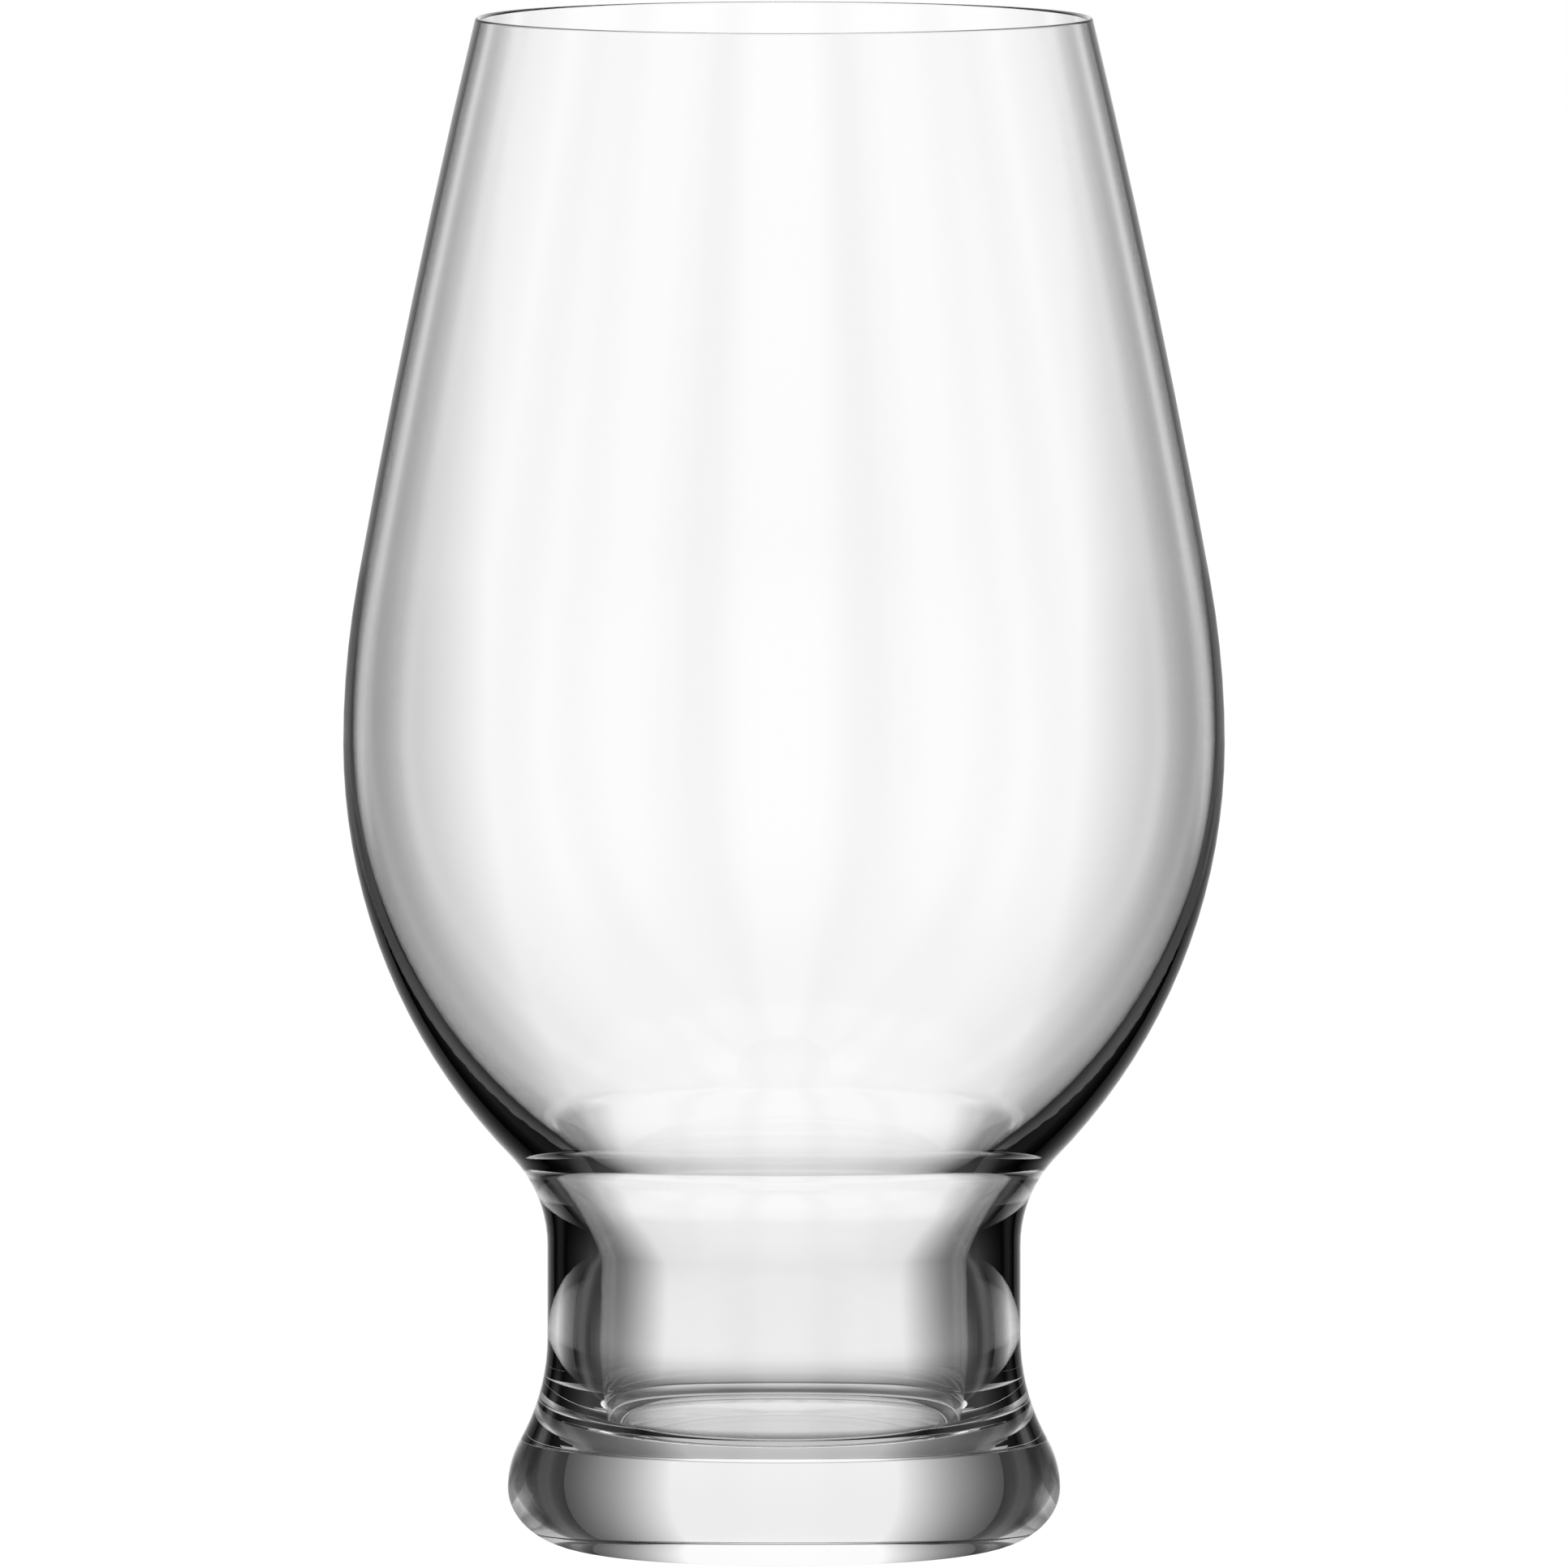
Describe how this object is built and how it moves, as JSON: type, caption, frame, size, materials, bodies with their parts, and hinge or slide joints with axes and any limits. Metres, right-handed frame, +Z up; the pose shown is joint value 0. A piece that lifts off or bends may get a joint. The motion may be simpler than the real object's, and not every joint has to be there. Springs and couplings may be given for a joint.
{
  "type": "ipa glass",
  "caption": "Tulip-shaped clear beer glass: a thin bowl leaning in to a rounded rim, over a thick drawn-in waist with a narrow well and a solid flared foot.",
  "frame": {"origin": "middle of the flat underside, on the glass's axis", "axes": "+Z up along the axis of the glass; X and Y are any two square directions, because the glass is round"},
  "size_m": [0.0851, 0.085, 0.148],
  "materials": {
    "clear_glass": "clear, fire-polished"
  },
  "bodies": {
    "root": {"beer_glass": "clear_glass"}
  },
  "joints": []
}
